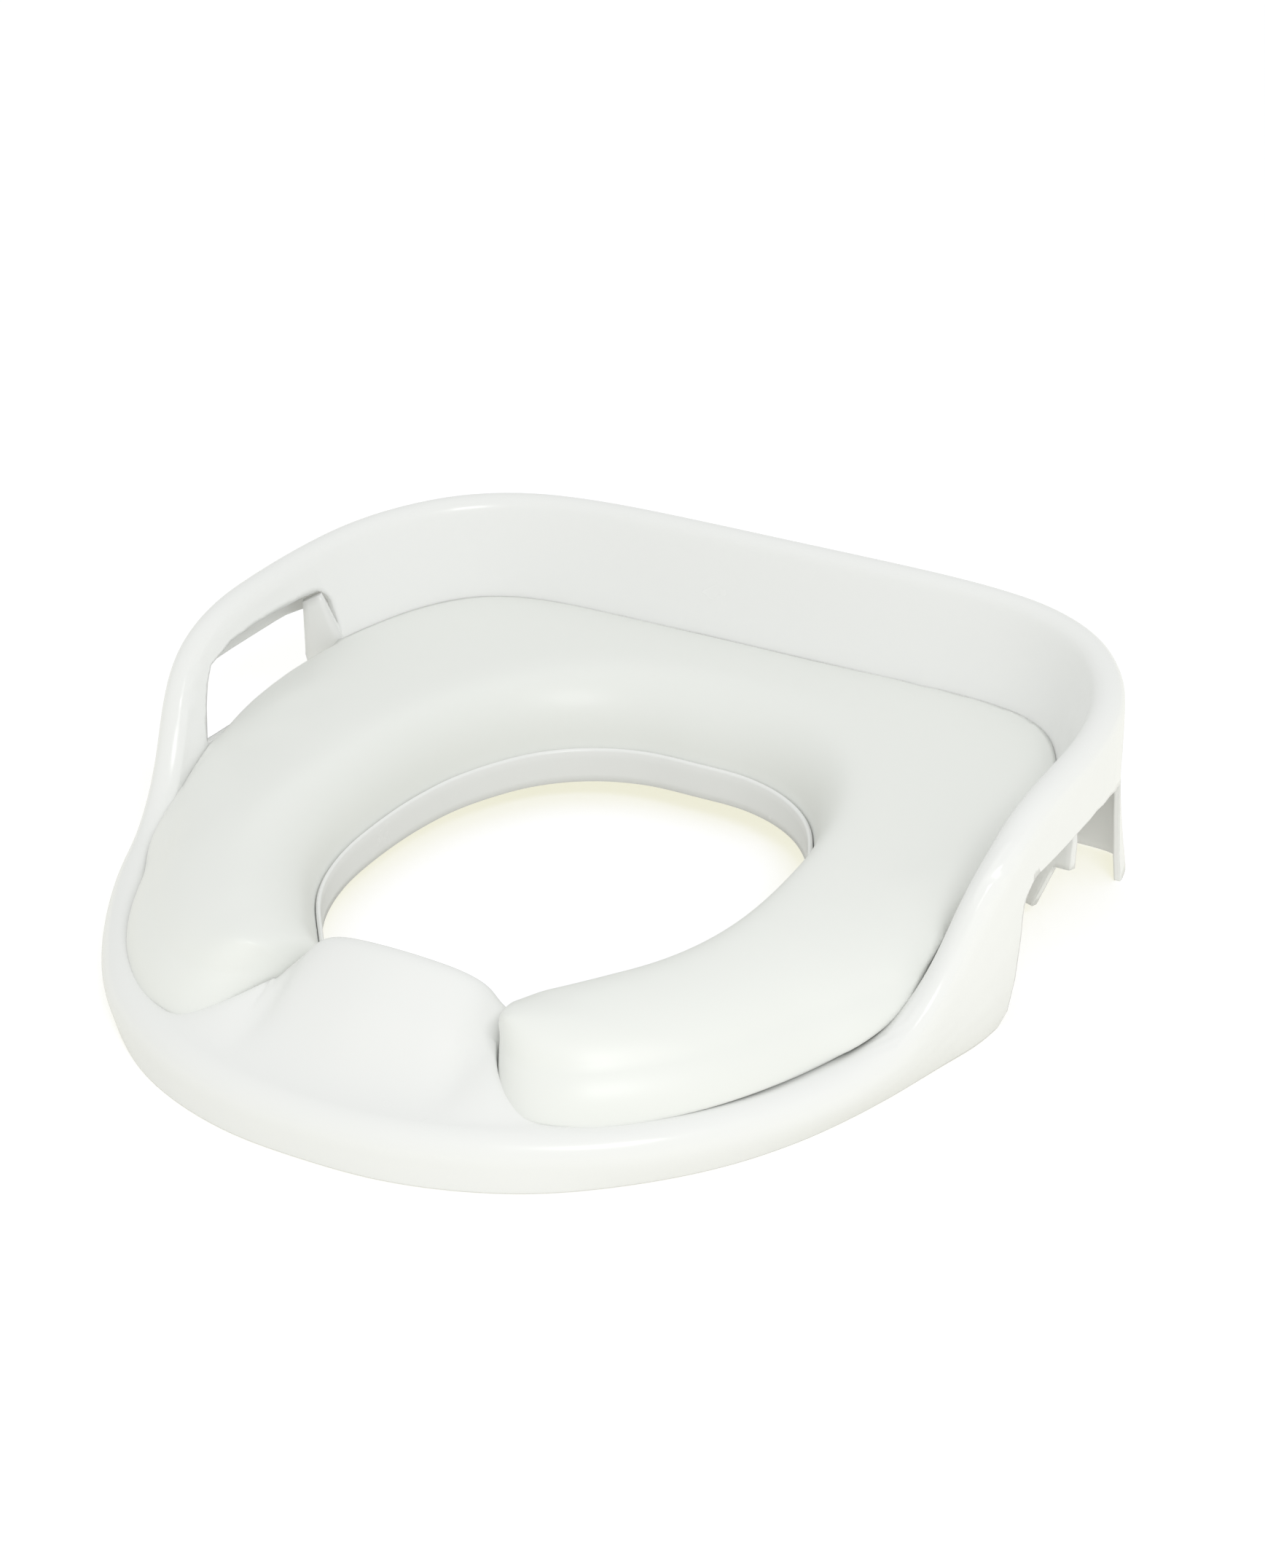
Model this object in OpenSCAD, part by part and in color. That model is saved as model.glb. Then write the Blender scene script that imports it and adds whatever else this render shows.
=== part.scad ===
// Padded toilet trainer seat: one moulded frame with a rolled rim, two bridge handles
// and a splash guard, a C-shaped foam pad that lies in its tray, and four grip blocks.
// Origin: middle of the seat on the surface it stands on, front towards -Y, top towards +Z.

/* [Size] */
// Width over the two side handles
seat_w = 403; // [385:1:430]
// Depth from the front apron to the rear rim
seat_d = 410; // [395:1:435]
// Height of the rear rim above the surface the seat stands on
rim_h = 104; // [98:1:112]

/* [Frame] */
// Wall of the moulding
wall_t = 2.8; // [2.2:0.1:3.2]
// Outer radius of the rolled rim
roll_r = 7.5; // [7:0.1:8.5]
// Height of the tray that carries the pad
tray_z = 20; // [18:0.5:23]
// Height of the collar round the hole, above the tray
collar_h = 8.5; // [7:0.5:12]
// Depth of the collar below the top of the tray
collar_drop = 8; // [6:0.5:12]
// Width of the collar round the hole
collar_t = 2.4; // [2:0.1:3]
// Radius of the domed apron in front
apron_r = 10; // [9:0.5:10.5]
// Radius of the top of the splash guard
guard_r = 8; // [7:0.5:9]
// Length of each hand slot
slot_len = 97; // [80:1:100]
// Top of the hand slots
slot_top = 83; // [78:1:84]
// Top of the side windows under the handles
window_top = 67.5; // [55:0.5:69]
// Web behind the rear end of each hand slot
web_t = 3; // [2:0.5:4]

/* [Pad] */
// Height of the pad's ridge
pad_top = 60; // [54:1:64]
// Height of the pad where it meets the rear wall
pad_back = 57; // [52:0.5:58]
// Slack between the pad and the frame
pad_gap = 0.5; // [0.4:0.1:1]

/* [Grip blocks] */
// Length of a grip block
grip_l = 34; // [20:1:40]
// Width of a grip block
grip_w = 14; // [10:1:18]
// Height of a grip block below the tray
grip_h = 9; // [5:1:11]

/* [Hidden] */
$fn = 48;

// The seat is laid out on spokes from a hub. The form is drawn at this size and scaled.
form_w = 403;
form_d = 410;
form_h = 104;
scale_x = seat_w / form_w;
scale_y = seat_d / form_d;
scale_z = rim_h / form_h;
hub_y = 60;
tray_t = wall_t;
collar_z = tray_z + collar_h;
guard_edge = -76.6;
beside_guard = -71;

// Each curve gives [angle of the spoke, value]; -90 is the front and 90 the back.
// Radius of the hole
hole = [[-90, 180], [-80, 178.2], [-73.3, 174.3], [-66.4, 162.6], [-57.8, 150.1], [-48.3, 134],
        [-35.6, 113.2], [-18.5, 94.4], [-8.6, 87], [3.6, 79.2], [19.4, 72.1], [36.9, 65],
        [60.5, 56.9], [90, 51]];
// Radius at the foot of the wall, where the tray ends
foot = [[-90, 222], [-85, 221], [-80, 218], [-77.4, 210], [-76, 209.8], [-74.5, 219.4],
        [-73.1, 226.6], [-70.3, 235.4], [-67, 239.6], [-60.3, 234.4], [-53.4, 224.2], [-45.6, 211.8],
        [-38.2, 200.5], [-30.9, 190.2], [-22.1, 180.8], [-16.6, 175.3], [-8.4, 170.3], [0, 168.5],
        [8.6, 166.9], [17.7, 164.8], [26.1, 165.9], [33.7, 165.9], [40.9, 160.3], [49.6, 141.8],
        [58, 127.4], [66, 118.2], [78, 110.4], [90, 108]];
// Height at the foot
foot_high = [[-90, 44], [-85, 42.5], [-80, 38], [-77.4, 32.5], [-76, 20], [90, 20]];
// Radius to the centre of the rolled rim, which becomes the dome of the apron
roll = [[-90, 254], [-80, 253], [-76, 251.5], [-73.5, 250.3], [-70.5, 248.5], [-66.3, 246],
        [-60.1, 240.8], [-52.8, 231.4], [-45, 221.9], [-37.3, 213.6], [-31, 206.6], [-26.9, 204],
        [-24, 202.8], [-21.1, 202.1], [-18.2, 201.3], [-14.5, 199.4], [-11.1, 197.2], [-6.5, 195.2],
        [0.6, 193.7], [10, 195.3], [19.8, 197.7], [28.5, 196.9], [37, 192.8], [45.2, 183.1],
        [53.9, 168.2], [61.5, 155.9], [69.2, 146.5], [79, 139.6], [90, 137]];
// Height of that centre
roll_high = [[-90, 11.5], [-60, 12], [-45, 12], [-37.3, 15], [-31, 21.5], [-26.9, 32.5], [-24, 45],
             [-21.1, 60], [-18.2, 72], [-14.5, 81], [-11.1, 86], [-6.5, 89.3], [0.6, 90.5],
             [10, 91], [19.8, 92.3], [28.5, 93.5], [37, 94.5], [53.9, 95.5], [69, 96], [90, 96]];
// Radius of the outline on the floor
outline = [[-90, 265], [-83.9, 265.3], [-76.1, 262.9], [-68.6, 257.8], [-61.8, 250], [-54.1, 240.6],
           [-45.5, 228.4], [-36.7, 215.8], [-25.6, 204], [-17.2, 199.9], [-11.8, 196.1], [-3, 193.3],
           [9, 192.4], [20.5, 199.7], [29, 212], [31.5, 212.8], [33.8, 210], [36, 199.1],
           [39.9, 182.4], [45, 165.5], [49.5, 153.9], [55, 142.8], [65, 129.1], [77, 120.1], [90, 117]];
// Radius to the centre of the splash guard's crest, and its height
crest = [[-90, 197.6], [-85, 197], [-80, 195.4], [-77.4, 194.6]];
crest_high = [[-90, 50.2], [-85, 48.8], [-82.5, 47], [-80.2, 44], [-78.6, 40.4], [-77.4, 35]];
// How the roll starts and ends, as angles round its centre, and how much the skirt bulges
roll_from = [[-90, 97], [-77.4, 99], [-73, 107], [-60, 112], [-38, 127], [-30, 150], [-25, 168], [90, 168]];
roll_to = [[-90, 0], [-30, 0], [-20, -4], [90, -8]];
bulge = [[-90, 1], [20, 1], [31, 0.25], [37, 0], [90, 0]];
tuck = [[-90, 0.35], [-38, 0.45], [-30, 0.75], [-20, 0.85], [90, 0.85]];
roll_size = [[-90, apron_r + 1], [-74, apron_r + 1], [-66, apron_r], [-40, apron_r],
             [-31, (apron_r + roll_r) / 2 + 0.5], [-25, roll_r], [90, roll_r]];
// Angles of the spokes on the right-hand side
spokes = [-90, -87, -84, -82, -80.3, -78.8, -77.4, -76, -74.8, -73.4, -71.8, -69.8, -67, -63.5, -60,
          -56, -52, -48, -44, -40, -36.5, -33.5, -31, -28.6, -26.3, -24, -21.8, -19.6, -17.2, -14.6, -12,
          -9, -5, 0, 5, 10, 15, 19.5, 23.5, 26.5, 29, 31.2, 33.3, 35.5, 38.5, 42, 46, 50, 55, 61, 67,
          74, 82, 90];
all_spokes = concat(spokes, [for (i = [len(spokes) - 2 : -1 : 1]) 180 - spokes[i]]);

function mix(a, b, t) = a + (b - a) * t;
function unit(v) = v / norm(v);
// Smooth curve through the points of a list, level at both ends
function seek(list, a, i = 0) = i >= len(list) - 2 || a <= list[i + 1][0] ? i : seek(list, a, i + 1);
function rise(list, i) = i == 0 || i == len(list) - 1 ? 0
    : let (before = (list[i][1] - list[i - 1][1]) / (list[i][0] - list[i - 1][0]),
           after = (list[i + 1][1] - list[i][1]) / (list[i + 1][0] - list[i][0]),
           part = (list[i][0] - list[i - 1][0]) / (list[i + 1][0] - list[i - 1][0]))
      mix(before, after, part);
function along(list, a) =
    let (i = seek(list, a),
         gap = list[i + 1][0] - list[i][0],
         t = min(1, max(0, (a - list[i][0]) / gap)),
         t2 = t * t,
         t3 = t2 * t)
    (2 * t3 - 3 * t2 + 1) * list[i][1] + (t3 - 2 * t2 + t) * gap * rise(list, i)
        + (3 * t2 - 2 * t3) * list[i + 1][1] + (t3 - t2) * gap * rise(list, i + 1);
// Straight steps through the points of a list
function steps(list, a) = let (i = seek(list, a))
    mix(list[i][1], list[i + 1][1],
        min(1, max(0, (a - list[i][0]) / (list[i + 1][0] - list[i][0]))));
function bezier(p, t) = let (s = 1 - t)
    s * s * s * p[0] + 3 * s * s * t * p[1] + 3 * s * t * t * p[2] + t * t * t * p[3];

// Lean and slope of the roll where a spoke cuts it, which widen its section
function roll_lean(a) = let (d = (along(roll, a + 0.5) - along(roll, a - 0.5)) * 180 / PI)
    sqrt(1 + pow(d / along(roll, a), 2));
function roll_slope(a) = let (d = (along(roll_high, a + 0.5) - along(roll_high, a - 0.5)) * 180 / PI)
    sqrt(1 + pow(d / along(roll, a), 2));
function roll_at(a, turn) =
    let (r = steps(roll_size, a),
         wide = a > -30 && a < 80 ? r * min(1.12, roll_lean(a)) : r,
         high = a > -32 ? r * min(1.9, roll_slope(a)) : r)
    [along(roll, a) + wide * cos(turn), along(roll_high, a) + high * sin(turn)];

// Sections of the frame on a spoke, as [radius, height]
collar_round = 1;
tray_steps = 6;
function collar_part(a) = let (r = along(hole, a))
    [[r, tray_z - collar_drop], [r, collar_z - collar_round], [r + collar_t / 2, collar_z],
     [r + collar_t, collar_z - (a < guard_edge ? -2.6 : collar_round)]];
function foot_at(a) = [along(foot, a), steps(foot_high, a) + tray_z - 20];
function tray_part(a) =
    let (from = [along(hole, a) + collar_t + 0.2, tray_z], to = foot_at(a))
    [for (k = [0 : tray_steps]) mix(from, to, k / tray_steps)];
function guard_part(a) =
    let (c = [along(crest, a), along(crest_high, a)],
         start = [along(hole, a) + collar_t, collar_z + 2.6],
         back = c + guard_r * [cos(160), sin(160)],
         front = c + guard_r * [cos(48), sin(48)])
    [mix(start, back, 0.4), back, c + guard_r * [cos(122), sin(122)],
     c + guard_r * [cos(84), sin(84)], front, mix(front, foot_at(a), 0.55), foot_at(a)];
wall_steps = 3;
function wall_part(a) =
    let (from = foot_at(a), to = roll_at(a, steps(roll_from, a)), way = to - from,
         lead = a < guard_edge ? unit([1, -0.9]) * norm(way) / 3
             : a < beside_guard ? [1, steps([[-76, 17], [-73.4, 8], [-71, 2]], a)]
             : way / 3,
         land = a < beside_guard ? [norm(way) / 3, 0] : way / 3)
    [for (k = [1 : wall_steps]) bezier([from, from + lead, to - land, to], k / (wall_steps + 1))];
roll_steps = 6;
function roll_part(a) = let (from = steps(roll_from, a), to = steps(roll_to, a))
    [for (k = [0 : roll_steps]) roll_at(a, mix(from, to, k / roll_steps))];
skirt_steps = 5;
function skirt_part(a) =
    let (from = roll_at(a, steps(roll_to, a)), to = [along(outline, a), 0], way = to - from,
         full = steps(bulge, a),
         one = mix(from + way / 3, from + [0, way[1] / 3], full),
         two = mix(from + way * 2 / 3, [to[0] - way[0] * steps(tuck, a), min(from[1] / 3, 8)], full))
    [for (k = [1 : skirt_steps]) bezier([from, one, two, to], k / skirt_steps)];
function section(a) = concat(collar_part(a), a < guard_edge ? guard_part(a) : tray_part(a),
                             wall_part(a), roll_part(a), skirt_part(a));

// A section put on its spoke, on the right or mirrored on the left
function place(a, p) = let (right = a <= 90, s = right ? a : 180 - a)
    [scale_x * p[0] * cos(s) * (right ? 1 : -1), scale_y * (hub_y + p[0] * sin(s)),
     p[1] <= tray_z ? p[1] : tray_z + (p[1] - tray_z) * (rim_h - tray_z) / (form_h - tray_z)];
function rightward(a) = a <= 90 ? a : 180 - a;
skin = [for (a = all_spokes) [for (p = section(rightward(a))) place(a, p)]];
rows = len(skin);
cols = len(skin[0]);
last = cols - 1;
under = 4;

// Direction that the skin faces at a point, and the inside of the moulding below it
function facing(i, j) =
    let (p = skin[i][j],
         ahead = skin[(i + 1) % rows][j] - p,
         behind = p - skin[(i + rows - 1) % rows][j],
         inward = p - skin[i][j - 1],
         outward = j == last ? inward : skin[i][j + 1] - p)
    unit(cross(outward, ahead)) + unit(cross(inward, ahead))
        + unit(cross(outward, behind)) + unit(cross(inward, behind));
function lining(i, j) =
    let (sum = facing(i, j), n = unit(sum), p = skin[i][j])
    j == last ? let (flat = unit([n[0], n[1]])) [p[0] - wall_t * flat[0], p[1] - wall_t * flat[1], 0]
        : j == under && rightward(all_spokes[i]) > guard_edge
            ? [p[0] - wall_t * n[0], p[1] - wall_t * n[1], tray_z - tray_t]
        : p - n * wall_t / max(0.72, norm(sum) / 4);
function lining_start(i) = let (a = all_spokes[i], r = along(hole, rightward(a)))
    place(a, [r + collar_t, tray_z - collar_drop]);
ring = [for (i = [0 : rows - 1])
        concat(skin[i], [for (j = [last : -1 : under]) lining(i, j)], [lining_start(i)])];

// Closed skin over a grid of rings, joined end to end
function band(n, m) = [for (i = [0 : n - 1], j = [0 : m - 1], half = [0, 1])
    let (i2 = (i + 1) % n, j2 = (j + 1) % m)
    half == 0 ? [i * m + j, i2 * m + j2, i * m + j2] : [i * m + j, i2 * m + j, i2 * m + j2]];
module ring_body() {
    polyhedron(points = [for (r = ring) each r], faces = band(rows, len(ring[0])), convexity = 10);
}

// Hand slot through the inner wall, drawn from the side and cut across it
slot_rear = 96;
slot_bottom = 48;
slot_round = 10;
slot_start = 150;
slot_reach = 187.5;
module slot_face() {
    polygon([[slot_rear - 1, slot_bottom], [slot_rear, slot_top - slot_round - 8],
             for (t = [15 : 15 : 75])
                 [slot_rear - slot_round * (1 - cos(t)), slot_top - slot_round - 1.5 + slot_round * sin(t)],
             [slot_rear - 18, slot_top - 1], [slot_rear - 50, slot_top], [slot_rear - 72, slot_top - 1],
             [slot_rear - slot_len + 9, slot_top - 6], [slot_rear - slot_len + 4, slot_top - 12],
             [slot_rear - slot_len - 1, slot_top - 21], [slot_rear - slot_len - 7, slot_bottom]]);
}
module hand_slot() {
    translate([slot_start, 0, 0]) rotate([90, 0, 90])
        linear_extrude(slot_reach - slot_start) slot_face();
}

// Window cut out of the outer skin under the handle, open to the floor
window_front = 12;
window_rear = 151;
window_round = 13;
window_turn = 4.6;
window_start = 188.3;
module window_face() {
    polygon([[window_front, -5], [window_front, window_top - window_round],
             for (t = [15 : 15 : 75])
                 [window_front + window_round * (1 - cos(t)),
                  window_top - window_round + window_round * sin(t)],
             [window_front + window_round, window_top], [84, window_top], [104, window_top - 2.5],
             [121, window_top - 6.5], [135, window_top - 11.5], [150, window_top - 18],
             [window_rear, window_top - 24], [window_rear, -5]]);
}
module side_window() {
    translate([window_start, window_front, 0]) rotate(window_turn) translate([0, -window_front, 0])
        rotate([90, 0, 90]) linear_extrude(40) window_face();
}

// Web behind the rear end of a hand slot, from the tray's edge out towards the skin
web_foot = [167.2, 103.6, 34];
web_turn = 27;
web_tilt = 5;
module slot_web() {
    translate(web_foot) rotate([0, 0, -web_turn]) rotate([web_tilt, 0, 0])
        rotate([90, 0, 0]) linear_extrude(web_t)
            polygon([[1.6, 0], [-4, -16], [-5, -29], [-1, -29], [14, -2], [25, 1], [27, 15],
                     [27, 42], [18.5, 46], [9, 23]]);
}

// Wall below the foot of the handle's inner wall, under the edge of the tray
rib_low = 10;
rib_t = 2.6;
module tray_rib() {
    inner = [for (a = [-22 : 6 : 14]) place(a, [along(foot, a) - 1, 0])];
    outer = [for (a = [14 : -6 : -22]) place(a, [along(foot, a) - 1 + rib_t, 0])];
    translate([0, 0, rib_low]) linear_extrude(tray_z - 1.4 - rib_low)
        polygon([for (q = concat(inner, outer)) [q[0], q[1]]]);
}
module both_sides() {
    children();
    mirror([1, 0, 0]) children();
}

module frame_shell() {
    color("#e9ecea")
    union() {
        difference() {
            ring_body();
            both_sides() scale([scale_x, scale_y, scale_z]) hand_slot();
            both_sides() scale([scale_x, scale_y, scale_z]) side_window();
        }
        both_sides() scale([scale_x, scale_y, scale_z]) slot_web();
        both_sides() tray_rib();
    }
}

// Pad: one closed cushion, its section drawn on each spoke between the collar and the wall
pad_floor = tray_z + 0.4;
pad_end = -75.75;
// Width from the hole's collar to the ridge of the pad
ridge = [[pad_end, 37], [-70.5, 36], [-66, 34], [-59, 31], [-52, 28.5], [-46, 26], [-39, 22.5],
         [-30, 19], [-10, 17], [20, 18], [50, 22], [90, 26]];
// How much lower the ridge lies towards the front
ridge_dip = [[pad_end, 3.5], [-60, 2.5], [-40, 1], [-20, 0], [90, 0]];
// Height of the pad's edge: low beside the apron, high where the pad fills the tray
edge = [[pad_end, 23], [-44, 23], [-38, 26], [-34, 29], [-30, 33.5], [-26, 39], [-22, 45], [-18, 49],
        [-12, 53], [-4, 56], [10, 57], [33, pad_back + 1.5], [45, pad_back + 0.5], [56, pad_back],
        [90, pad_back - 0.5]];
function wall_reach(a, z) =
    let (from = foot_at(a), to = roll_at(a, steps(roll_from, a)), mid = roll_at(a, 180),
         up = min(0.8, (z - mid[1]) / (roll_at(a, 90)[1] - mid[1])))
    z <= to[1] ? mix(from[0], to[0], max(0, z - from[1]) / (to[1] - from[1]))
        : along(roll, a) - (along(roll, a) - mid[0]) * sqrt(1 - up * up);
flank_steps = 7;
function pad_section(a, shrink) =
    let (front = min(1, max(0, (-28 - a) / 8)),
         inner = along(hole, a) + collar_t + pad_gap + 0.3,
         low = [foot_at(a)[0] - pad_gap - mix(0.5, 0.1, front), pad_floor],
         top = inner + steps(ridge, a),
         peak = pad_top - steps(ridge_dip, a),
         high = steps(edge, a),
         side = [min(wall_reach(a, high) - pad_gap - 0.5, a < -40 ? low[0] + 1.5 : wall_reach(a, high)), high],
         middle = (inner + low[0]) / 2,
         over = [[top, peak], [mix(top, side[0], 0.55), peak],
                 [mix(top, side[0], 0.97), mix(high, peak, 0.6)], side],
         raw = concat(
             [[inner, pad_floor], [inner, pad_floor + 8]],
             [for (t = [28, 56]) [top - (top - inner) * pow(cos(t), 1.3),
                                  pad_floor + 8 + (peak - pad_floor - 8) * sin(t)]],
             [for (k = [0 : flank_steps]) bezier(over, k / flank_steps)],
             [mix(side, low + [0.2, 1], 0.5), low + [0.2, 1], low - [1.5, 0], [middle, pad_floor]]))
    [for (p = raw) [mix(p[0], middle, shrink),
                    mix(p[1], pad_floor, shrink * (p[1] - pad_floor) / (peak - pad_floor))]];
pad_spokes = [pad_end, -75.4, -74.6, -73.2, -71.6, -69.5, -66, -62, -57, -52, -47, -42, -37, -32.5,
              -28.5, -24.5, -20, -14, -7, 0, 7, 14, 20, 25, 30, 35, 40, 46, 53, 61, 70, 80, 90];
pad_shrink = [[pad_end, 0.24], [-75.4, 0.12], [-74.6, 0.03], [-73.2, 0], [90, 0]];
pad_rows = [for (a = concat(pad_spokes, [for (i = [len(pad_spokes) - 2 : -1 : 0]) 180 - pad_spokes[i]]))
            [for (p = pad_section(rightward(a), steps(pad_shrink, rightward(a)))) place(a, p)]];
module seat_pad() {
    n = len(pad_rows);
    m = len(pad_rows[0]);
    color("#d9dcd3")
    polyhedron(
        points = [for (r = pad_rows) each r],
        faces = concat(
            [for (i = [0 : n - 2], j = [0 : m - 1], half = [0, 1]) let (j2 = (j + 1) % m)
                half == 0 ? [i * m + j, (i + 1) * m + j2, i * m + j2]
                          : [i * m + j, (i + 1) * m + j, (i + 1) * m + j2]],
            [[for (j = [0 : m - 1]) j]], [[for (j = [m - 1 : -1 : 0]) (n - 1) * m + j]]),
        convexity = 6);
}

// Grip block: rubber block under the tray that bears on a toilet ring
grip_places = [[118, -92, 62], [-118, -92, -62], [106, 112, -48], [-106, 112, 48]];
grip_round = 4;
module grip_block(at) {
    color("#8d918f")
    translate([scale_x * at[0], scale_y * at[1], tray_z - tray_t - grip_h]) rotate(at[2])
        linear_extrude(grip_h) union() {
            square([grip_l - 2 * grip_round, grip_w], center = true);
            square([grip_l, grip_w - 2 * grip_round], center = true);
            for (sx = [-1, 1], sy = [-1, 1])
                translate([sx * (grip_l / 2 - grip_round), sy * (grip_w / 2 - grip_round)])
                    circle(grip_round);
        }
}

frame_shell();
seat_pad();
grip_block(grip_places[0]);  // grip_block_front_right
grip_block(grip_places[1]);  // grip_block_front_left
grip_block(grip_places[2]);  // grip_block_rear_right
grip_block(grip_places[3]);  // grip_block_rear_left
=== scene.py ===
# %% [markdown]
# # A padded toilet trainer seat
# This lesson dresses a finished construction model. The seat has one moulded frame with a
# rolled rim, two bridge handles and a splash guard, a C-shaped foam pad that lies in the
# frame's tray, and four rubber grip blocks underneath. Sizes and places come from the
# construction model. Here the pieces get smooth skins, fuller flanks beside the guard,
# finishes and light.

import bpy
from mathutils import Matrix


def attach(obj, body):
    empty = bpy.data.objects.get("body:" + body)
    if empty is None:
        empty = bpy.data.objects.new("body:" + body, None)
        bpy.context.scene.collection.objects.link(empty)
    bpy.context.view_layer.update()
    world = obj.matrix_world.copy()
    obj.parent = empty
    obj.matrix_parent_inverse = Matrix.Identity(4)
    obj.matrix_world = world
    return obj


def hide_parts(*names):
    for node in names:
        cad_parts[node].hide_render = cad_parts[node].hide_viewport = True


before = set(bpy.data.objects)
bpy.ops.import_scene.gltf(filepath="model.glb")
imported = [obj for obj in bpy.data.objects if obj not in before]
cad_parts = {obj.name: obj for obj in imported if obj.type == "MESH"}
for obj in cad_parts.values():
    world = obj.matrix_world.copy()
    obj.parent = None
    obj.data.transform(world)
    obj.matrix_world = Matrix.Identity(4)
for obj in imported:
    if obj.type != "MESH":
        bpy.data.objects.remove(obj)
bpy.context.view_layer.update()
print("nodes:", sorted(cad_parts))

# %% [markdown]
# ## From facets to a smooth moulding
# A construction model made of flat facets shows them wherever light glances off it. Smooth
# shading alone hides the steps but leaves dents in the reflections of long, thin triangles.
# Subdivision gives truly round forms, and it likes four-sided faces best. So the triangles are
# first joined in pairs, which brings back the grid the form was drawn on, and edges that the
# real part has as edges get a crease, so that subdivision leaves them crisp.

# %% Helper that turns a node into a creased quad mesh
import bmesh
import bpy
import math
from mathutils import Vector, noise

MM = 0.001
WELD = 0.02 * MM
# Two triangles become one quad if they lie this flat to each other, with corners this square
FLAT, SQUARE = math.radians(28), math.radians(75)
# The slots and windows lie behind this line, and only there every cut edge stays sharp
CUTS_BEHIND = -60 * MM


def clamp(value):
    """The value, kept between 0 and 1."""
    return min(1, max(0, value))


def quad_copy(node, name, edge_angle, crease, keep_cuts=False, shape=None):
    """Copy of a construction node as quads, shaped, with its real edges creased."""
    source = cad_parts[node]
    bm = bmesh.new()
    bm.from_mesh(source.data)
    bm.transform(source.matrix_world)
    bmesh.ops.remove_doubles(bm, verts=bm.verts, dist=WELD)
    bmesh.ops.join_triangles(bm, faces=bm.faces, angle_face_threshold=FLAT,
                             angle_shape_threshold=SQUARE)
    if shape:
        shape(bm)
        bm.normal_update()
    layer = bm.edges.layers.float.new("crease_edge")
    sharp = math.radians(edge_angle)
    hard = [e for e in bm.edges if e.is_manifold and e.calc_face_angle(0) > sharp]
    for e in hard:
        e[layer] = crease
    if keep_cuts:
        cut = {v for f in bm.faces if len(f.verts) == 3 for v in f.verts
               if v.co.y > CUTS_BEHIND}
        for e in bm.edges:
            if e.verts[0] in cut or e.verts[1] in cut:
                e[layer] = 1.0
    for f in bm.faces:
        f.smooth = True
    mesh = bpy.data.meshes.new(name)
    bm.to_mesh(mesh)
    quads = sum(len(f.verts) == 4 for f in bm.faces)
    print(name, "faces", len(bm.faces), "of them quads", quads, "creased edges", len(hard))
    bm.free()
    piece = bpy.data.objects.new(name, mesh)
    bpy.context.scene.collection.objects.link(piece)
    return piece


def subdivide(piece, levels):
    """Subdivides a piece and keeps the result as its mesh."""
    modifier = piece.modifiers.new("round", "SUBSURF")
    modifier.levels = modifier.render_levels = levels
    evaluated = piece.evaluated_get(bpy.context.evaluated_depsgraph_get())
    mesh = bpy.data.meshes.new_from_object(evaluated)
    piece.modifiers.clear()
    piece.data = mesh
    print(piece.name, "now has", len(mesh.polygons), "faces")


# %% [markdown]
# ## Flanks of the splash guard
# Beside the splash guard the moulding runs over into the apron in one full, rounded flank, and
# the end of the pad disappears behind it. The construction model is a few millimetres leaner
# there than the real moulding. Each vertex knows its spoke, so the flank can be filled out by
# spoke: a little outwards, which makes room for the pad's corner, and a little up. Between the
# guard and the pad's end runs a ridge on one spoke, and its heights are set one by one.

# %% Helpers that fill out the flanks
HUB = Vector((0, 0.06, 0))
# Angle of the spoke, radius where the flank starts, width of its rise, shift outwards and up
FLANK = [(-85, 200, 18, 0, 0), (-80.3, 200, 18, 0, 1.6), (-78.8, 200, 18, 0, 3.2),
         (-77.4, 200, 18, 0, 8.8), (-76, 209, 1, -2, 7.4), (-74.8, 216, 1, 5.5, 6.0),
         (-73.4, 224, 1, 6.5, 4.2), (-71.8, 230, 1, 6, 2.6), (-69.8, 235, 1, 2.5, 1.0),
         (-67, 238, 1, 0, 0)]
# The shift outwards grows over this width inside the flank and is gone at its end
FLANK_RUN_IN, FLANK_END = 22, 249.5
# Ridge between the guard and the end of the pad, as radius and height along one spoke
RIDGE_SPOKE, RIDGE_HALF_ANGLE = -76, 0.2
RIDGE = [(179, 28.5), (184, 31.5), (189, 35.5), (194, 38.2), (200, 38.4), (205, 37), (210, 35.4)]
RIDGE_FROM = RIDGE[0][0] + 2
TRAY, SAME_HEIGHT, OVER_TRAY = 20, 0.1, 20.2 * MM


def flank_at(angle):
    """Values of the flank on a spoke, or None beside it."""
    for a, b in zip(FLANK[:-1], FLANK[1:]):
        if a[0] <= angle < b[0]:
            t = (angle - a[0]) / (b[0] - a[0])
            return [u + (v - u) * t for u, v in zip(a[1:], b[1:])]
    return None


def along(points, value):
    """Straight steps through a list of points."""
    for (a, low), (b, high) in zip(points[:-1], points[1:]):
        if a <= value <= b:
            return low + (high - low) * (value - a) / (b - a)
    return points[0][1] if value < points[0][0] else points[-1][1]


def spoke_of(v):
    """Spoke angle of a vertex, folded to the right-hand side, and its radius in millimetres."""
    x, y = v.co.x / MM, (v.co.y - HUB.y) / MM
    return math.degrees(math.atan2(y, abs(x))), math.hypot(x, y)


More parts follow.
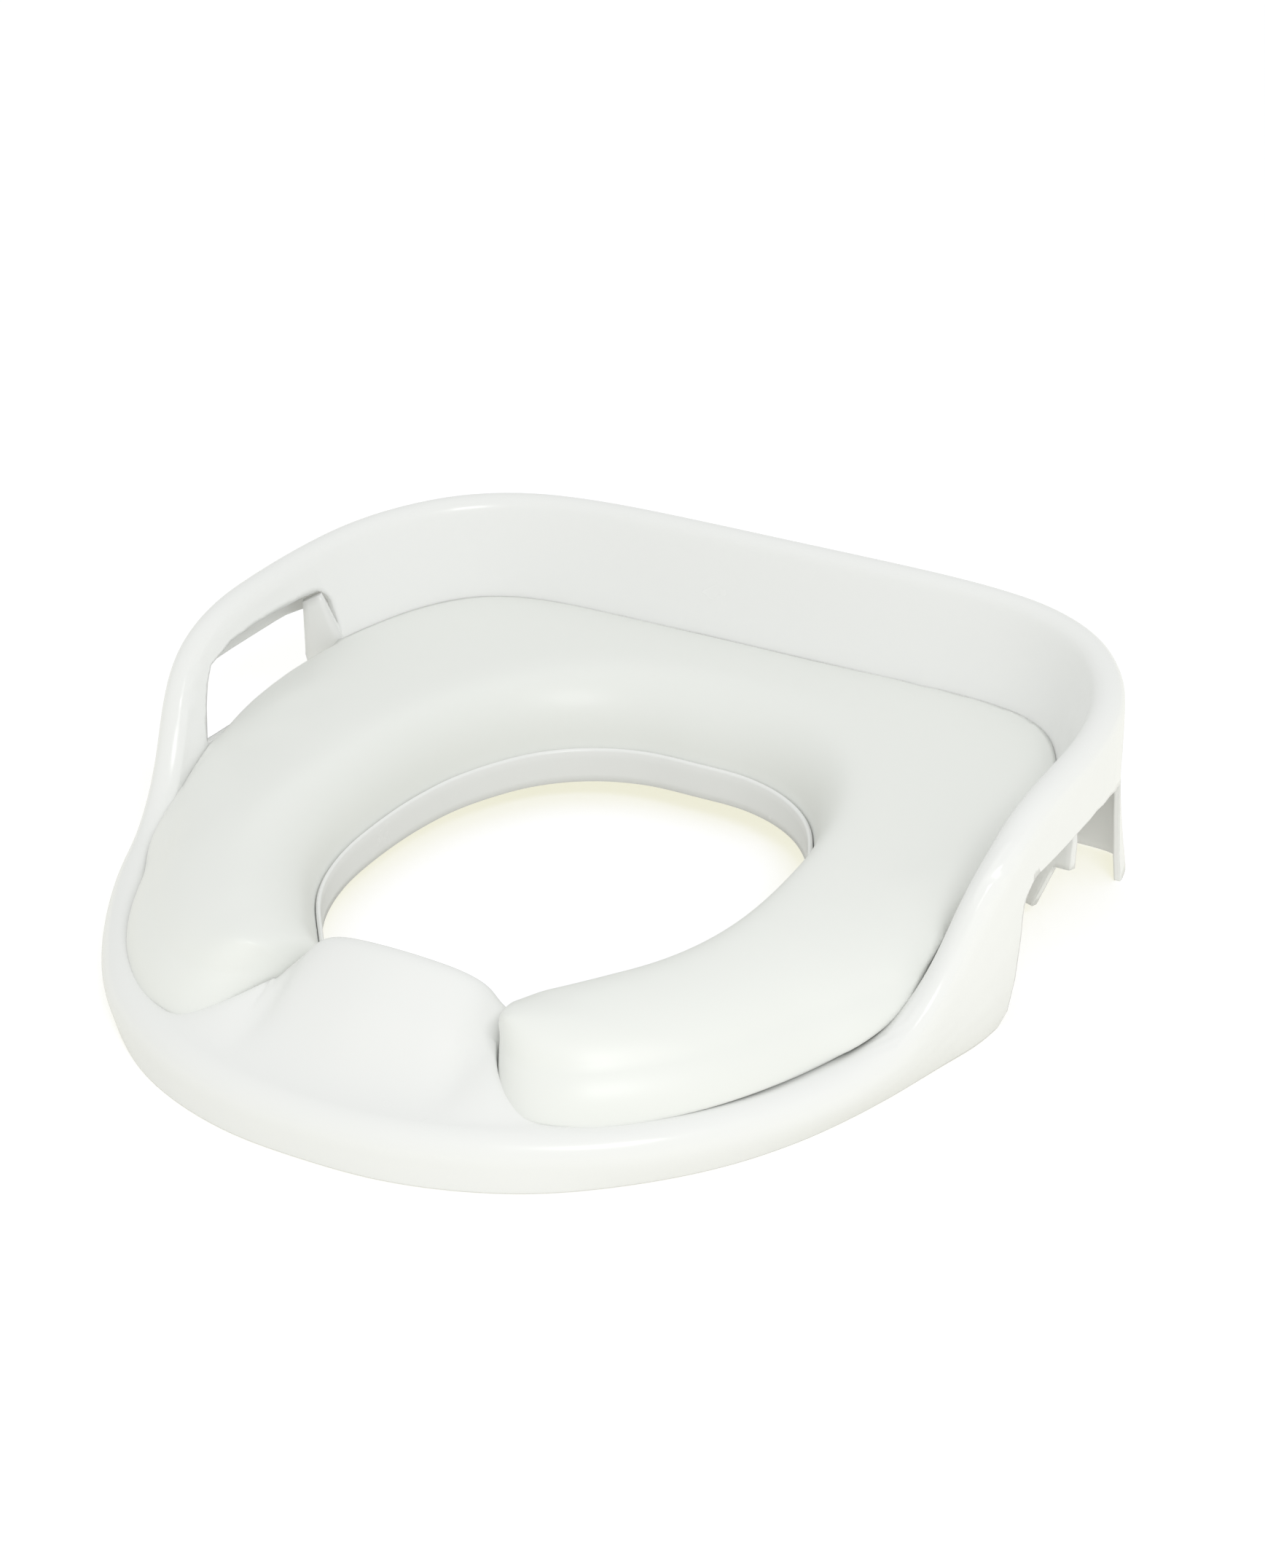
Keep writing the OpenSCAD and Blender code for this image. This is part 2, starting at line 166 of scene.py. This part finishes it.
def fill_flanks(bm, lift=True):
    """Moves a mesh outwards beside the guard, and up if lift is set."""
    for v in bm.verts:
        angle, radius = spoke_of(v)
        values = flank_at(angle)
        if values is None:
            continue
        start, rise, out, up = values
        run_in = clamp(1 - (start - radius) / FLANK_RUN_IN)
        fade = clamp((radius - start) / (FLANK_END - start))
        shift = 1 + out * run_in * (1 - fade) / radius
        on_tray = abs(v.co.z / MM - TRAY) < SAME_HEIGHT
        on_ridge = abs(angle - RIDGE_SPOKE) < RIDGE_HALF_ANGLE and radius > RIDGE_FROM
        if lift and on_tray and on_ridge:
            v.co.z = along(RIDGE, radius) * MM
        elif lift and v.co.z > OVER_TRAY and radius > start:
            v.co.z += up * min(1, (radius - start) / rise) * (1 - fade ** 2) * MM
        v.co.x, v.co.y = v.co.x * shift, HUB.y + (v.co.y - HUB.y) * shift


# %% [markdown]
# ## The moulded frame
# The real frame is one injection moulding of polypropylene: tray, rim, handles and guard in
# one skin. It keeps every edge of the construction model that turns sharply: the collar round
# the hole, the lower edge, the ends of the hand slots.

# %% Frame
FINE = 2
shell = quad_copy("frame_shell", "moulded_frame", edge_angle=43, crease=0.93, keep_cuts=True,
                  shape=fill_flanks)
subdivide(shell, FINE)
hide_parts("frame_shell")
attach(shell, "root")

# %% [markdown]
# ## The foam pad
# The pad is soft foam with a smooth closed skin, made in one mould, so it has no seams. A
# simulated cloth would swell it and lose the photographed ridge round the hole. It is shaped
# by subdivision instead, and then its skin is moved in and out a little, because soft foam
# never lies as true as hard plastic.

# %% Pad
# The corners of the pad's ends turn towards the guard, in front of this spoke
CORNER_BEFORE, CORNER_FROM, CORNER_TURN = -73.3, 188, math.radians(-0.4)
# Beside the hand slots the outer edge stands up between two spokes
EDGE_START, EDGE_STOP, EDGE_FROM, EDGE_OVER, EDGE_RISE = -24, -2, 155, 40 * MM, 2.5 * MM
# Folds near the ends are evened out in front of this spoke
SOFT_BEFORE, SOFT_FROM, SOFT_OVER, SOFT_PASSES = -69, 196, 30 * MM, 4
# Height of the waves in the skin, and how many lie along a metre
SWELL, WAVE = 0.22 * MM, 22.0


def shape_pad(bm):
    """Fits the pad's ends to the flanks and evens out their folds."""
    fill_flanks(bm, lift=False)
    for v in bm.verts:
        angle, radius = spoke_of(v)
        if angle < CORNER_BEFORE and radius > CORNER_FROM:
            turn = CORNER_TURN * (1 if v.co.x > 0 else -1)
            x, y = v.co.x, v.co.y - HUB.y
            v.co.x = x * math.cos(turn) - y * math.sin(turn)
            v.co.y = HUB.y + x * math.sin(turn) + y * math.cos(turn)
    for v in bm.verts:
        angle, radius = spoke_of(v)
        if EDGE_START < angle < EDGE_STOP and radius > EDGE_FROM and v.co.z > EDGE_OVER:
            share = (angle - EDGE_START) / (EDGE_STOP - EDGE_START)
            v.co.z += EDGE_RISE * math.sin(math.pi * share)
    soft = []
    for v in bm.verts:
        angle, radius = spoke_of(v)
        if angle < SOFT_BEFORE and radius > SOFT_FROM and v.co.z > SOFT_OVER:
            soft.append(v)
    for _ in range(SOFT_PASSES):
        bmesh.ops.smooth_vert(bm, verts=soft, factor=0.5, use_axis_x=True, use_axis_y=True,
                              use_axis_z=True)
    print("pad points evened out:", len(soft))


pad = quad_copy("seat_pad", "foam_pad", edge_angle=80, crease=0.35, shape=shape_pad)
subdivide(pad, FINE)
# A moved point makes Blender work out every normal again, so they are read first
normals = [v.normal.copy() for v in pad.data.vertices]
for v, normal in zip(pad.data.vertices, normals):
    v.co += normal * noise.noise(v.co * WAVE) * SWELL

# %% [markdown]
# Foam is cut a little large for its tray, so it presses against the walls and only a hair
# line shows between them. Each point on the pad's flanks looks outwards for the moulding, and
# where that is near it moves up to it, all but a third of a millimetre. In front there is no
# wall to look for, only the low shoulder of the apron. There the foam rolls over the shoulder,
# most at the bottom and not at all from a certain height up.

# %% Pad pressed into its tray
from mathutils.bvhtree import BVHTree

# How far a point looks, the gap from which it is pressed fully, and the gap that stays
REACH, FULL_PRESS, HAIR_LINE = 7 * MM, 3 * MM, 0.35 * MM
# How far the skin has to turn towards a wall to be held by it, and over what span it takes hold
LEAST_TURN, TURN_SPAN = 0.15, 0.5
SHOULDER, BED_Z, ROLL_TOP = 6 * MM, 20.4 * MM, 40 * MM
# The shoulder takes over from the wall in front of this line, over this length
FRONT_Y, BLEND = 15 * MM, 60 * MM

walls = BVHTree.FromPolygons([v.co for v in shell.data.vertices],
                             [p.vertices for p in shell.data.polygons])
moved = 0
for v, normal in zip(pad.data.vertices, normals):
    away = Vector((v.co.x - HUB.x, v.co.y - HUB.y, 0)).normalized()
    side = normal.dot(away)
    way = away if side > 0 else -away
    grip = clamp((abs(side) - LEAST_TURN) / TURN_SPAN)
    if grip == 0 or v.co.z < BED_Z:
        continue
    front = clamp((FRONT_Y - v.co.y) / BLEND) if side > 0 else 0
    if front and v.co.z < ROLL_TOP:
        up = (v.co.z - BED_Z) / (ROLL_TOP - BED_Z)
        v.co += way * SHOULDER * front * grip * (1 - up ** 2)
    hit, _, _, gap = walls.ray_cast(v.co, way, REACH)
    if hit and gap > HAIR_LINE:
        near = min(1, (REACH - gap) / (REACH - FULL_PRESS))
        v.co += way * (gap - HAIR_LINE) * grip * near * (1 - front)
        moved += 1
print("points pressed against the moulding:", moved)
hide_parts("seat_pad")
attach(pad, "root")

# %% [markdown]
# ## Finishes
# Both surfaces are off-white, so the eye tells them apart by gloss and by a small shift in
# hue. The frame is a cool white with a soft gloss. The pad is satin, a touch greyer and
# greener. Each finish has a fine relief that breaks up its highlights: the faint ripple of a
# moulding, and the grain of a foam skin. The grip blocks are plain matt rubber.

# %% Helpers for node materials
# A noise node rarely leaves this range, so it is spread over it
NOISE_LOW, NOISE_HIGH = 0.1, 0.9


def material(name, colour, roughness):
    """New material with a Principled shader, returned with its nodes and links."""
    m = bpy.data.materials.new(name)
    m.use_nodes = True
    nodes, links = m.node_tree.nodes, m.node_tree.links
    shader = nodes["Principled BSDF"]
    shader.inputs["Base Color"].default_value = (*colour, 1)
    shader.inputs["Roughness"].default_value = roughness
    return m, nodes, links, shader


def relief(nodes, links, shader, scale, height, detail):
    """Fine bumps over a surface, in the object's own coordinates."""
    place = nodes.new("ShaderNodeTexCoord")
    grain = nodes.new("ShaderNodeTexNoise")
    bump = nodes.new("ShaderNodeBump")
    grain.inputs["Scale"].default_value = scale
    grain.inputs["Detail"].default_value = detail
    bump.inputs["Strength"].default_value = 1.0
    bump.inputs["Distance"].default_value = height
    links.new(place.outputs["Object"], grain.inputs["Vector"])
    links.new(grain.outputs["Fac"], bump.inputs["Height"])
    links.new(bump.outputs["Normal"], shader.inputs["Normal"])
    return place


def spread(nodes, links, value, socket, start, stop, low, high, blend="LINEAR"):
    """Feeds a socket with a value that runs from low to high between start and stop."""
    ramp = nodes.new("ShaderNodeMapRange")
    ramp.interpolation_type = blend
    ramp.inputs["From Min"].default_value = start
    ramp.inputs["From Max"].default_value = stop
    ramp.inputs["To Min"].default_value = low
    ramp.inputs["To Max"].default_value = high
    links.new(value, ramp.inputs["Value"])
    links.new(ramp.outputs["Result"], socket)


def vary(nodes, links, place, socket, scale, low, high):
    """Lets a value drift between low and high over the surface."""
    cloud = nodes.new("ShaderNodeTexNoise")
    cloud.inputs["Scale"].default_value = scale
    cloud.inputs["Detail"].default_value = 3
    links.new(place.outputs["Object"], cloud.inputs["Vector"])
    spread(nodes, links, cloud.outputs["Fac"], socket, NOISE_LOW, NOISE_HIGH, low, high,
           blend="SMOOTHERSTEP")


def finish_piece(piece, finish):
    """Gives a piece one finish and no other."""
    piece.data.materials.clear()
    piece.data.materials.append(finish)


# %% Frame, pad and grip finishes
frame_finish, nodes, links, shader = material("gloss_white_plastic", (0.885, 0.89, 0.88), 0.24)
place = relief(nodes, links, shader, scale=260, height=0.004 * MM, detail=2)
vary(nodes, links, place, shader.inputs["Roughness"], scale=30, low=0.21, high=0.28)

pad_finish, nodes, links, shader = material("satin_foam_skin", (0.865, 0.878, 0.85), 0.4)
place = relief(nodes, links, shader, scale=1400, height=0.012 * MM, detail=3)
vary(nodes, links, place, shader.inputs["Roughness"], scale=24, low=0.36, high=0.44)

grip_finish, nodes, links, shader = material("matt_rubber", (0.45, 0.47, 0.46), 0.75)
relief(nodes, links, shader, scale=900, height=0.02 * MM, detail=2)

finish_piece(shell, frame_finish)
finish_piece(pad, pad_finish)
for name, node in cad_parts.items():
    if name.startswith("grip_block"):
        finish_piece(node, grip_finish)
print("finishes:", [m.name for m in bpy.data.materials if m.users])

# %% [markdown]
# ## Studio
# A catalogue picture of a white object on white needs a floor that is brighter than the
# object and still takes a faint shadow. To the camera the floor glows a little and reflects a
# little, and it reflects blue more than red, so that its shadow turns warm. To everything else
# it is a matt board with a weak glow, which is weaker still beneath the seat, so that it lights
# the undersides only a little.

# %% Helpers for the studio's shaders
def light_node(nodes, kind, colour, strength=None):
    """New shader node with its colour, and its strength where it has one."""
    node = nodes.new(kind)
    node.inputs["Color"].default_value = (*colour, 1)
    if strength is not None:
        node.inputs["Strength"].default_value = strength
    return node


def sum_of(nodes, links, first, second):
    """Two shaders added up."""
    both = nodes.new("ShaderNodeAddShader")
    links.new(first.outputs[0], both.inputs[0])
    links.new(second.outputs[0], both.inputs[1])
    return both


def split(nodes, links, output_kind, for_camera, for_others):
    """Shows one shader to the camera and another to every other ray."""
    out = nodes.new(output_kind)
    pick = nodes.new("ShaderNodeMixShader")
    path = nodes.new("ShaderNodeLightPath")
    links.new(path.outputs["Is Camera Ray"], pick.inputs["Fac"])
    links.new(for_others.outputs[0], pick.inputs[1])
    links.new(for_camera.outputs[0], pick.inputs[2])
    links.new(pick.outputs[0], out.inputs["Surface"])


# %% Floor and sky
scene = bpy.context.scene
FLOOR_SIZE, FLOOR_Z = 30, -0.0004
# The floor's glow for all rays but the camera's grows with the distance from the middle
DIM_WITHIN, FULL_FROM, DIM_GLOW, FULL_GLOW = 0.10, 0.26, 0.20, 0.55

bpy.ops.mesh.primitive_plane_add(size=FLOOR_SIZE, location=(0, 0, FLOOR_Z))
floor = bpy.context.object
floor.name = "studio_floor"

sweep = bpy.data.materials.new("studio_sweep")
sweep.use_nodes = True
nodes, links = sweep.node_tree.nodes, sweep.node_tree.links
nodes.clear()
matt = light_node(nodes, "ShaderNodeBsdfDiffuse", (0.39, 0.42, 0.74))
glow = light_node(nodes, "ShaderNodeEmission", (0.70, 0.675, 0.42))
board = light_node(nodes, "ShaderNodeBsdfDiffuse", (0.50, 0.50, 0.47))
fill = light_node(nodes, "ShaderNodeEmission", (1.0, 0.99, 0.93))
where = nodes.new("ShaderNodeTexCoord")
distance = nodes.new("ShaderNodeVectorMath")
distance.operation = "LENGTH"
links.new(where.outputs["Object"], distance.inputs[0])
spread(nodes, links, distance.outputs["Value"], fill.inputs["Strength"], DIM_WITHIN, FULL_FROM,
       DIM_GLOW, FULL_GLOW)
split(nodes, links, "ShaderNodeOutputMaterial", for_camera=sum_of(nodes, links, matt, glow),
      for_others=sum_of(nodes, links, board, fill))
floor.data.materials.append(sweep)

world = bpy.data.worlds.new("studio")
scene.world = world
world.use_nodes = True
nodes, links = world.node_tree.nodes, world.node_tree.links
nodes.clear()
sky = light_node(nodes, "ShaderNodeBackground", (0.8, 0.8, 0.8), strength=1.05)
daylight = light_node(nodes, "ShaderNodeBackground", (0.99, 1.0, 0.985), strength=0.79)
split(nodes, links, "ShaderNodeOutputWorld", for_camera=sky, for_others=daylight)
print("floor and sky are white")

# %% [markdown]
# ## Key light
# The highlights on the rim, the ridge of the pad and the apron all point to one wide lamp
# above and to the right of the camera. It is a soft box, so its reflections have soft ends.

# %% Soft box
AIM = Vector((0, 0, 0.05))


def soft_box(name, azimuth, elevation, distance, size, power):
    """Area lamp aimed at the seat; azimuth is clockwise from +Y, seen from above."""
    a, e = math.radians(azimuth), math.radians(elevation)
    way = Vector((math.sin(a) * math.cos(e), math.cos(a) * math.cos(e), math.sin(e)))
    lamp = bpy.data.lights.new(name, "AREA")
    lamp.shape = "RECTANGLE"
    lamp.size, lamp.size_y = size
    lamp.energy = power
    holder = bpy.data.objects.new(name, lamp)
    scene.collection.objects.link(holder)
    holder.location = way * distance + AIM
    holder.rotation_euler = way.to_track_quat("Z", "Y").to_euler()


soft_box("key", azimuth=132, elevation=43, distance=2.6, size=(1.05, 0.42), power=15)
print("key light set")

# %% [markdown]
# ## Camera
# The camera stands where the photographer's stood: in front and to the right, 27 degrees
# above the seat and 1.6 metres away, with a lens a little longer than a portrait lens.

# %% Camera
AZIMUTH, ELEVATION, DISTANCE = math.radians(29.1), math.radians(27.17), 1.6
TARGET = Vector((0.00566, 0.04427, 0.05))
back = Vector((math.sin(AZIMUTH) * math.cos(ELEVATION), -math.cos(AZIMUTH) * math.cos(ELEVATION),
               math.sin(ELEVATION)))
lens = bpy.data.cameras.new("camera")
lens.lens = 86.42
lens.sensor_width = 36
lens.sensor_fit = "AUTO"
camera = bpy.data.objects.new("camera", lens)
scene.collection.objects.link(camera)
camera.location = TARGET + back * DISTANCE
camera.rotation_euler = back.to_track_quat("Z", "Y").to_euler()
scene.camera = camera
scene.view_settings.view_transform = "Standard"
print("camera at", [round(v, 3) for v in camera.location])
